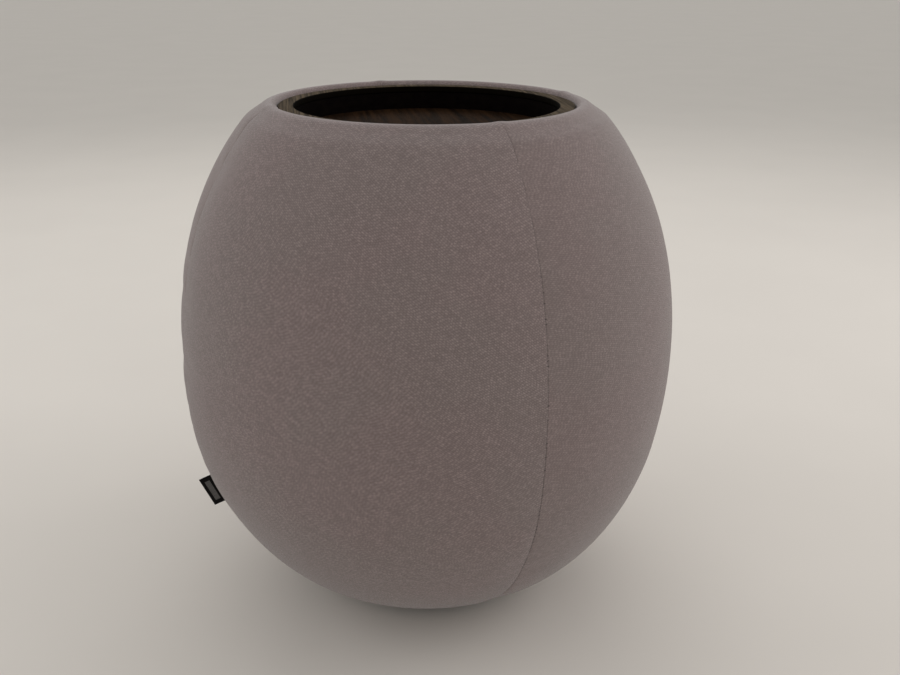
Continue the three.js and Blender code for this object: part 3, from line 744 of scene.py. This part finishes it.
def inflate_cage():
    """The four gores as one light cage, sewn down along the seams and blown up from inside by simulation.

    Gives the rows' lengths along the path, the columns' azimuths, and how far each point ends up from the
    outline.
    """
    ROW, GORE_COLUMNS = 8.0, 46
    COLUMNS = 4 * GORE_COLUMNS
    FRAMES = 20
    LIES_FLAT = 0.02  # the fullness below which the cloth is held by its frame
    CROWN_LIMIT, QUICK_CROWN = 2.7, 2.21
    line = Line(PATH, ROW)
    share = np.arange(GORE_COLUMNS) / GORE_COLUMNS
    azimuths = np.concatenate([SEAMS[i] + gore_arc(i) * share for i in range(4)])
    full = fullness(line)
    start = -seam_depth(line)

    rest = turned_points(line.offset(start), azimuths)
    rows = len(line.points)
    mesh = bpy.data.meshes.new("cage")
    mesh.from_pydata((rest * MM).tolist(), [], grid_faces(rows, COLUMNS, close_columns=True))
    cage = new_object("cage", mesh)
    held = cage.vertex_groups.new(name="held")
    for point in range(rows * COLUMNS):
        row, column = divmod(point, COLUMNS)
        if column % GORE_COLUMNS == 0 or full[row] < LIES_FLAT:
            held.add([point], 1.0, "REPLACE")
    cloth = cage.modifiers.new("cloth", "CLOTH")
    settings = dict(
        quality=6, mass=0.3, tension_stiffness=18, compression_stiffness=18, shear_stiffness=8,
        bending_stiffness=0.6, shrink_min=-0.012, use_pressure=True, uniform_pressure_force=4,
        vertex_group_mass="held",
    )
    for key, value in settings.items():
        setattr(cloth.settings, key, value)
    cloth.settings.effector_weights.gravity = 0
    cloth.point_cache.frame_start = 1
    cloth.point_cache.frame_end = FRAMES
    scene = bpy.context.scene
    for number in range(1, FRAMES + 1):
        scene.frame_set(number)
    posed = cage.evaluated_get(bpy.context.evaluated_depsgraph_get()).to_mesh()
    moved = np.empty(len(posed.vertices) * 3)
    posed.vertices.foreach_get("co", moved)
    scene.frame_set(1)
    bpy.data.objects.remove(cage)
    moved = moved.reshape(-1, 3) / MM - rest
    rise = np.sum(moved * turned_points(line.normals, azimuths), axis=1).reshape(rows, COLUMNS)
    rise = CROWN_LIMIT * np.tanh(rise / CROWN_LIMIT)
    return line.lengths, azimuths, start[:, None] + rise


CAGE_LENGTHS, CAGE_AZIMUTHS, CAGE_RISE = inflate_cage()


def blurred(grid, passes):
    """Smooths a grid of values but leaves its borders."""
    for _ in range(passes):
        grid[1:-1] = (grid[:-2] + 2 * grid[1:-1] + grid[2:]) / 4
        grid[:, 1:-1] = (grid[:, :-2] + 2 * grid[:, 1:-1] + grid[:, 2:]) / 4
    return grid


def cage_rise(lengths, azimuths):
    """How far the cage stands out from the outline, at one length for a row and one azimuth for a point."""
    whole_turn = np.append(CAGE_AZIMUTHS, CAGE_AZIMUTHS[0] + 360) - CAGE_AZIMUTHS[0]
    columns = [np.interp(lengths, CAGE_LENGTHS, column) for column in CAGE_RISE.T]
    rows = np.stack([*columns, columns[0]], axis=1)
    turns = (azimuths - CAGE_AZIMUTHS[0]) % 360
    return np.array([np.interp(turn, whole_turn, row) for turn, row in zip(turns, rows)])


def seam_shape(away, line, seam):
    """How far a seam's turned-in edges, its puckers and its bulk on the lip move the cloth."""
    ROLL = 0.35
    DIP, DIP_REACH = 0.3, 9.0
    PUCKER, PUCKER_REACH, PUCKER_PITCH = 0.16, 7.0, 11.0
    SLIP, SLIP_SIZE, STRENGTH_SIZE = 2.5, 45, 30
    BULK, BULK_REACH = 0.8, 6.0
    UNDERNEATH, NEAR_LIP = 0.35, 0.4  # the share of a seam's relief that is left there
    heights = line.heights
    on_side = smoothstep(heights, COVER_BASE + 0.5, COVER_BASE + 12) * outside(line.radii)
    strength = UNDERNEATH + (1 - UNDERNEATH) * on_side
    strength *= 1 - (1 - NEAR_LIP) * smoothstep(heights, 350, 440)
    edge = np.clip(1 - away / ROLL, 0, 1)
    valley = ROLL * (1 - np.sqrt(1 - edge * edge)) + DIP * np.exp(-away / DIP_REACH)
    slip = np.array([SLIP * noise.noise((s / SLIP_SIZE, seam * 7.3, 0.0)) for s in line.lengths])
    vigour = np.array([0.6 + noise.noise((s / STRENGTH_SIZE, 0.0, seam * 3.1)) for s in line.lengths])
    wave = np.sin(2 * np.pi * line.lengths / PUCKER_PITCH + slip) * vigour
    pucker = PUCKER * wave[:, None] * np.exp(-away / PUCKER_REACH)
    on_lip = smoothstep(heights, BODY_HEIGHT - 4.5, BODY_HEIGHT - 1.2)
    bulk = BULK * on_lip[:, None] * np.exp(-(away / BULK_REACH) ** 2)
    return strength[:, None] * (pucker - valley) + bulk


def unevenness(points, full):
    """Slow rise and fall of the stuffing under the cloth, which has also settled a little to the left."""
    SWELL, SWELL_SIZE, RIPPLE, RIPPLE_SIZE = 0.45, 85, 0.35, 31
    SETTLED, SETTLED_HEIGHT, SETTLED_REACH = 2.4, 185, 65
    swell = np.array([
        noise.noise(p / SWELL_SIZE) + RIPPLE * noise.noise(p / RIPPLE_SIZE) for p in map(Vector, points)
    ])
    side = points[:, 0] / BODY_RADIUS
    settled = side * np.exp(-((points[:, 2] - SETTLED_HEIGHT) / SETTLED_REACH) ** 2)
    return (SWELL * swell - SETTLED * settled).reshape(len(full), -1) * full[:, None]


def gore_columns(radii, number, plan):
    """Where the columns of one gore run: distances from its first seam, and azimuths, one for each point.

    plan is the distances kept beside both seams, and the number of columns between them.
    """
    beside, between = plan
    widths = (radii * math.radians(gore_arc(number)))[:, None]
    start = np.tile(beside, (len(radii), 1))
    share = np.linspace(0, 1, between + 2)[1:-1]
    middle = beside[-1] + share * (widths - 2 * beside[-1])
    away = np.concatenate([start, middle, widths - start[:, ::-1]], axis=1)
    return away, SEAMS[number] + np.degrees(away / radii[:, None]), widths


def polar_points(line, azimuths, offset):
    """Points at a line's rows and their own azimuths, moved outwards by their own offsets."""
    radii = line.points[:, :1] + line.normals[:, :1] * offset
    heights = line.points[:, 1:] + line.normals[:, 1:] * offset
    return around(radii, azimuths, heights).reshape(-1, 3)


def gore_surface(line, number, plan):
    """A gore's outer face: offsets from the outline, azimuths, and its weave and seam coordinates."""
    away, azimuths, widths = gore_columns(line.radii, number, plan)
    to_seam = np.minimum(away, widths - away)
    seams = (seam_shape(to_seam, line, seam) for seam in (number, (number + 1) % 4))
    rise = blurred(cage_rise(line.lengths, azimuths), 6)
    swell = unevenness(polar_points(line, azimuths, rise), fullness(line))
    offset = rise + np.where(away < widths / 2, *seams) + swell
    along = np.broadcast_to(line.lengths[:, None], away.shape)
    weave, seam = (np.stack([x, along], axis=-1).reshape(-1, 2) for x in (away - widths / 2, to_seam))
    return offset, azimuths, weave, seam


def paint_coordinates(mesh, name, values):
    """A UV map in metres, from one pair of millimetres for each vertex."""
    layer = mesh.uv_layers.new(name=name)
    corners = np.empty(len(mesh.loops), dtype=int)
    mesh.loops.foreach_get("vertex_index", corners)
    layer.data.foreach_set("uv", (values[corners] * MM).ravel())


def make_cover():
    PLAN = ([0.04, 0.15, 0.35, 0.6, 0.85, 1.5, 3, 5, 8, 12, 17], 72)
    PANELS = {"right": "cover_side", "back": "cover_front", "left": "cover_side", "front": "cover_front"}
    line = Line(PATH, spacing=2.3)
    for number, (side, material) in enumerate(PANELS.items()):
        offset, azimuths, weave, seam = gore_surface(line, number, PLAN)
        name = f"cover_{side}"
        points = polar_points(line, azimuths, offset)
        mesh = make_mesh(name, points, grid_faces(*offset.shape), smooth_angle=80)
        paint_coordinates(mesh, "weave", weave)
        paint_coordinates(mesh, "seam", seam)
        panel = make_piece(name, mesh, material, replaces=(f"cover_panel_{side}",))
        cloth = panel.modifiers.new("thickness", "SOLIDIFY")
        cloth.thickness = CLOTH * MM
        cloth.offset = -1


def make_seam_threads():
    """Short bars of thread that cross each seam, deep between its turned-in edges."""
    HALF_LENGTH, THREAD_RADIUS = 0.6, 0.22
    DEPTH = 1.0
    line = Line(PATH, STITCH)
    shown = (line.heights > COVER_BASE + 2) & (line.radii > LIP_TOP_RADIUS)
    places = line.offset(-seam_depth(line) - DEPTH)[shown]
    along = np.linspace(-HALF_LENGTH, HALF_LENGTH, 5)[:, None]
    for number, azimuth in enumerate(SEAMS, start=1):
        across = around(1, azimuth + 90, 0)
        points, faces = [], []
        for radius, height in places:
            bar, quads = tube(around(radius, azimuth, height) + across * along, THREAD_RADIUS)
            faces += [tuple(k + len(points) for k in quad) for quad in quads]
            points += list(bar)
        mesh = make_mesh(f"seam_thread_{number}", points, faces)
        make_piece(f"seam_thread_{number}", mesh, "thread")


# ---- Padding ----

# How deep the wadding's two faces lie, from the cover's face and from the outline.
WADDING_OUTSIDE = CLOTH + 0.5
WADDING_INSIDE = INSET + WADDING_OUTSIDE + 5.6


def make_wadding():
    PLAN = ([0.0, 0.6, 1.2, 2.2, 4, 8, 16], 26)
    line = Line(PATH, spacing=4.0)
    first = int(np.argmax(line.radii > BASE_FLAT_RADIUS))
    last = int(np.argmax(line.heights)) + 1
    gores = []
    for number in range(4):
        offset, azimuths, *_ = gore_surface(line, number, PLAN)
        outer, inner = (
            polar_points(line, azimuths, face).reshape(*offset.shape, 3)[first:last]
            for face in (offset - WADDING_OUTSIDE, np.full(offset.shape, -WADDING_INSIDE))
        )
        gores.append(np.concatenate([outer, inner[::-1]], axis=0)[:, :-1])
    points = np.concatenate(gores, axis=1)
    faces = grid_faces(*points.shape[:2], close_rows=True, close_columns=True)
    mesh = make_mesh("wadding_layer", points.reshape(-1, 3), faces)
    wadding = make_piece("wadding_layer", mesh, "wadding", replaces=("wadding",))


def make_foam():
    """The body's two halves and the lip, which are hollow round the skirt, the drum and the base board."""
    DEPTH = WADDING_INSIDE + 1
    LINING, DRUM, BASE_EDGE = 138.9, 134.4, 104.8
    HALF_GAP = 0.1  # degrees
    body_top, lip_bottom = high("foam_body_left"), low("foam_lip")
    drum_top, drum_bottom = high("drum_skin"), low("drum_skin")
    outer = [tuple(p) for p in Line(barrel_outline(), spacing=6.0).offset(-DEPTH)]
    body = [
        *(p for p in outer if p[1] < body_top and p[0] > BASE_EDGE + 1),
        (LINING, body_top), (LINING, drum_top + 0.4), (DRUM, drum_top), (DRUM, drum_bottom),
        (BASE_EDGE, high("base_board") + 1), (BASE_EDGE, COVER_BASE + DEPTH),
    ]
    lip = [(LINING, lip_bottom), *(p for p in outer if p[1] > lip_bottom and p[0] > LINING + 1)]
    for side, start in (("right", 0), ("left", 180)):
        half = spun_piece(f"foam_{side}", body, "foam", "foam", replaces=(f"foam_body_{side}",),
                          start=start + HALF_GAP, arc=180 - 2 * HALF_GAP, step=2.5)
    top = spun_piece("foam_top", lip, "foam", "foam", replaces=("foam_lip",))


# ---- The tray ----

def make_tray():
    GAP = 0.3
    rebate_top, rebate_radius = low("tray_wall") - GAP, WALL_INNER - GAP
    band("rim_ring", "tray_rim", RIM_INNER, RIM_OUTER, 1.3, "rim", "tray_wood", "tray", cuts=5, step=1.25)
    band("wall_ring", "tray_wall", WALL_INNER, WALL_OUTER, 0.5, "wall", "tray_wood", "tray", step=1.5)
    bottom, top = low("tray_floor"), high("tray_floor")
    floor = eased([
        (0, bottom), (WALL_OUTER, bottom), (WALL_OUTER, rebate_top), (rebate_radius, rebate_top),
        (rebate_radius, top), (0, top),
    ], 0.5)
    spun_piece("floor_disc", solid(floor), "floor", "tray_wood", "tray", ("tray_floor",), step=2)
    for number in range(1, 5):
        node = f"tray_felt_{number}"
        pad = eased(box_profile(0, FELT_RADIUS, low(node), high(node)), 0.9)
        spun_on(node, f"felt_pad_{number}", solid(pad), "felt", "tray")


# ---- Frame, fastenings and underside ----

def make_tapes():
    THICKNESS = 1.9
    for node, inner, material in (("hook_tape", 132.4, "hooks"), ("loop_tape", 134.7, "loops")):
        band(f"{node}_band", node, inner, inner + THICKNESS, 0.4, material, "tape")


def make_frame():
    SKIN_INNER, SKIN_OUTER = 131.2, 134.0
    band("bent_skin", "drum_skin", SKIN_INNER, SKIN_OUTER, 0.6, "plywood", "plywood")
    for node in ["base_board", "top_board", "mid_hoop", *(f"rib_{i}" for i in range(1, 7))]:
        eased_copy(node, "plywood")


def screw_mesh(name, length, shank, head, head_profile, thread_from):
    """A screw with its head's face at height 0, a true helical thread and a cross recess."""
    PITCH, THREAD = 1.8, 0.45
    SIDES, ROW = 24, 0.3
    POINT, CORE = 4.0, 0.85
    turned = np.linspace(0, 360, SIDES, endpoint=False)
    rows = [(HAIR, 0.0), *((radius, -depth) for radius, depth in head_profile)]
    for depth in np.arange(thread_from, length, ROW):
        taper = min(1.0, (length - depth) / POINT)
        wave = np.abs((depth / PITCH + turned / 360) % 1 - 0.5) * 2
        crest = THREAD * np.clip(1.6 * wave - 0.6, 0, 1)
        rows.append(((CORE * shank + crest) * taper, -depth))
    rows.append((HAIR, -length))
    points = np.concatenate([around(radius, turned + 90, z) for radius, z in rows])
    mesh = make_mesh(name, points, grid_faces(len(rows), SIDES, close_columns=True, caps=True))
    return with_cross_recess(mesh, head)


def with_cross_recess(mesh, head):
    """head is the radius of the screw's head, in millimetres."""
    span, width, depth = (share * head * MM for share in (1.2, 0.24, 0.4))
    cutter = bmesh.new()
    for x, y in ((span, width), (width, span)):
        bmesh.ops.create_cube(cutter, size=1, matrix=Matrix.Diagonal((x, y, 2 * depth, 1)))
    cutter_mesh = bpy.data.meshes.new("recess")
    cutter.to_mesh(cutter_mesh)
    cutter.free()
    tool = new_object("recess", cutter_mesh)
    part = new_object("screw", mesh)
    cut = part.modifiers.new("recess", "BOOLEAN")
    cut.object = tool
    cut.solver = "EXACT"
    cut.use_self = True
    graph = bpy.context.evaluated_depsgraph_get()
    result = bpy.data.meshes.new_from_object(part.evaluated_get(graph))
    bpy.data.objects.remove(part)
    bpy.data.objects.remove(tool)
    return result


def make_screws():
    RIB_HEAD = [(3.7, 0.0), (3.95, 0.2), (3.95, 0.7), (2.0, 2.8), (1.75, 3.2), (1.75, 7.0)]
    GLIDE_HEAD = [(3.2, 0.0), (4.2, 0.5), (4.55, 1.3), (4.55, 2.5), (1.75, 2.6), (1.75, 3.6)]
    SHANK = 2.0
    rib_screw = screw_mesh("rib screw", 36, SHANK, 4.0, RIB_HEAD, thread_from=7.3)
    glide_screw = screw_mesh("glide screw", 18.2, SHANK, 4.5, GLIDE_HEAD, thread_from=3.9)
    names = [f"rib_screw_{end}_{i}" for end in ("top", "bottom") for i in range(1, 7)]
    names += [f"glide_screw_{i}" for i in range(1, 5)]
    for name in names:
        mesh = (glide_screw if name.startswith("glide") else rib_screw).copy()
        upright = name.startswith("rib_screw_top")
        place = centre(name)
        place.z = high(name) if upright else low(name)
        turn = Matrix.Identity(4) if upright else Matrix.Rotation(math.pi, 4, "X")
        mesh.transform(Matrix.Translation(place * MM) @ turn)
        make_piece(f"{name}_threaded", mesh, "steel", replaces=(name,))


def make_glides():
    COUNTERBORE, BORE, SHOULDER = 5.25, 2.6, 5.6
    profile = eased([
        (COUNTERBORE, 0), (GLIDE_RADIUS - 1, 0), (GLIDE_RADIUS, 1.5), (GLIDE_RADIUS, GLIDE_HEIGHT - 3),
        (GLIDE_RADIUS - 2, GLIDE_HEIGHT), (BORE, GLIDE_HEIGHT), (BORE, SHOULDER), (COUNTERBORE, SHOULDER),
    ], 0.5)
    for node in (f"glide_{number}" for number in range(1, 5)):
        spun_on(node, f"{node}_moulded", profile, "plastic", smooth_angle=50)


def make_zip():
    """The circular zip, open at the back: two tapes, a coil of filament, stops and slider."""
    START, ARC, TAPE_SPARE = -157.8, 315.6, 2
    WIRE, PITCH, POINTS_PER_TURN = 0.33, 1.5, 10
    for node, inner, outer in (("zip_tape_inner", 84.6, 91.05), ("zip_tape_outer", 94.35, 102.2)):
        band(f"{node}_band", node, inner, outer, 0.25, "tape", "tape",
             start=START - TAPE_SPARE, arc=ARC + 2 * TAPE_SPARE)
    half_height = (high("zip_coil") - low("zip_coil")) / 2 - WIRE
    half_width = COIL_WIDTH / 2 - WIRE
    turns = math.radians(ARC) * ZIP_RADIUS / PITCH
    winding = np.linspace(0, 2 * np.pi * turns, int(turns * POINTS_PER_TURN))
    radius = ZIP_RADIUS + half_width * np.cos(winding)
    height = centre("zip_coil").z + half_height * np.sin(winding)
    path = around(radius, START + ARC * winding / winding[-1], height)
    mesh = make_mesh("zip_coil_wound", *tube(path, WIRE, sides=5))
    make_piece("zip_coil_wound", mesh, "coil", replaces=("zip_coil",))
    for node in ("zip_stop_1", "zip_stop_2"):
        eased_copy(node, "steel", ease=0.2)
    eased_copy("zip_slider", "steel", ease=0.35, body="zip_slider")


def make_bottom_cloth():
    cloth = eased_copy("bottom_cloth", "bottom", ease=0.2)


# ---- The label ----

def make_label():
    """A woven label folded over and sewn into the left seam, standing out and a little bent."""
    PLY = 0.42
    LEAN = math.radians(8)  # it is sewn in a little askew, with its free edge higher
    GAP_IN_FOLD = 0.16
    ROWS, STEPS, FOLD_STEPS = 29, 12, 9
    BURIED = 2.0
    BEND, WAVE = 0.9, 0.35  # how far the free edge goes aside, all along and in a slow wave
    WAVE_TURN, WAVE_START = 2.4, 0.6  # radians
    half = (PLY + GAP_IN_FOLD) / 2
    reach = LABEL_WIDTH - half
    # Once out along one ply, round the fold and back: (out, aside).
    middle = [(x, -half) for x in np.linspace(-BURIED, reach, STEPS)]
    fold = np.linspace(0, math.pi, FOLD_STEPS)[1:-1]
    middle += [(reach + half * math.sin(a), -half * math.cos(a)) for a in fold]
    middle += [(x, half) for x in np.linspace(reach, -BURIED, STEPS)]
    middle = np.array(middle)
    normal = headings(middle)[:, ::-1] * (1, -1)
    loop = np.concatenate([middle + normal * PLY / 2, (middle - normal * PLY / 2)[::-1]])
    outs = np.append(middle[:, 0], middle[::-1, 0])

    aside = around(1, SEAMS[3] + 90, 0)
    line = Line(PATH, spacing=1.0)
    row = int(np.argmin(np.abs(line.heights - LABEL_HEIGHT) + 1000 * (line.radii < LIP_TOP_RADIUS)))
    normal_out = around(line.normals[row, 0], SEAMS[3], line.normals[row, 1])
    along = np.cross(normal_out, aside)
    along *= np.sign(along[2])
    base = around(line.radii[row], SEAMS[3], LABEL_HEIGHT) - seam_depth(line)[row] * normal_out
    outward = math.cos(LEAN) * normal_out + math.sin(LEAN) * along
    lengths = np.linspace(-LABEL_LENGTH / 2, LABEL_LENGTH / 2, ROWS)[:, None, None]
    share = np.maximum(loop[:, :1], 0) / LABEL_WIDTH
    wave = np.sin(lengths / LABEL_LENGTH * WAVE_TURN + WAVE_START)
    bent = loop[:, 1:] + BEND * share ** 2 + WAVE * share * wave
    points = base + along * lengths + outward * loop[:, :1] + aside * bent
    weave = np.stack(np.broadcast_arrays(lengths[..., 0], outs), axis=-1)
    faces = grid_faces(ROWS, len(loop), close_columns=True, caps=True)
    mesh = make_mesh("label", points.reshape(-1, 3), faces, smooth_angle=50)
    paint_coordinates(mesh, "weave", weave.reshape(-1, 2))
    label = make_piece("folded_label", mesh, "label", replaces=("side_label",))


# ---- Stage, light and camera ----

def make_stage():
    REACH = 60  # metres
    mesh = bpy.data.meshes.new("floor")
    corners = [(-REACH, -REACH, 0), (REACH, -REACH, 0), (REACH, REACH, 0), (-REACH, REACH, 0)]
    mesh.from_pydata(corners, [], [(0, 1, 2, 3)])
    mesh.materials.append(floor_material())
    new_object("stage_floor", mesh)


def softbox(name, place, size, watts, colour):
    """A soft lamp that is aimed at the object."""
    AIM = (0, 0, 0.3)
    light = bpy.data.lights.new(name, "AREA")
    light.shape = "RECTANGLE"
    light.size, light.size_y = size
    light.energy = watts
    light.color = colour
    lamp = new_object(name, light)
    lamp.location = place
    lamp.rotation_euler = (Vector(AIM) - Vector(place)).to_track_quat("-Z", "Y").to_euler()


def make_lights():
    world = bpy.data.worlds.new("studio")
    world.use_nodes = True
    background = world.node_tree.nodes["Background"].inputs
    background["Color"].default_value = (1.0, 0.99, 0.97, 1)
    background["Strength"].default_value = 0.62
    bpy.context.scene.world = world
    softbox("back light", place=(-0.3, 1.9, 1.7), size=(2.4, 1.0), watts=10, colour=(1.0, 0.98, 0.95))
    softbox("right light", place=(2.0, 0.3, 1.3), size=(1.4, 1.4), watts=12, colour=(1.0, 0.97, 0.97))
    softbox("left light", place=(-2.0, 0.1, 1.2), size=(1.4, 1.4), watts=6.5, colour=(0.98, 0.98, 1.0))
    softbox("top light", place=(0.2, 0.3, 2.3), size=(1.6, 1.6), watts=2.5, colour=(1.0, 0.98, 0.97))
    softbox("front light", place=(0.5, -4.4, 1.3), size=(3.2, 2.2), watts=24, colour=(1.0, 0.97, 0.94))


def make_camera():
    DOWN, YAW, ROLL = 21.2, 1.36, 0.3  # degrees
    camera = bpy.data.cameras.new("camera")
    camera.sensor_width = 36
    camera.lens = 40.1
    camera.clip_start = 0.01
    eye = new_object("camera", camera)
    eye.location = (0, -0.938, 0.617)
    aim = Euler((math.radians(90 - DOWN), 0, math.radians(-YAW))).to_matrix()
    eye.rotation_euler = (aim @ Matrix.Rotation(math.radians(ROLL), 3, "Z")).to_euler()
    bpy.context.scene.camera = eye


make_cover()
make_seam_threads()
make_wadding()
make_foam()
make_tray()
make_tapes()
make_frame()
make_screws()
make_glides()
make_zip()
make_bottom_cloth()
make_label()
make_stage()
make_lights()
make_camera()

bpy.context.scene.view_settings.view_transform = "Standard"
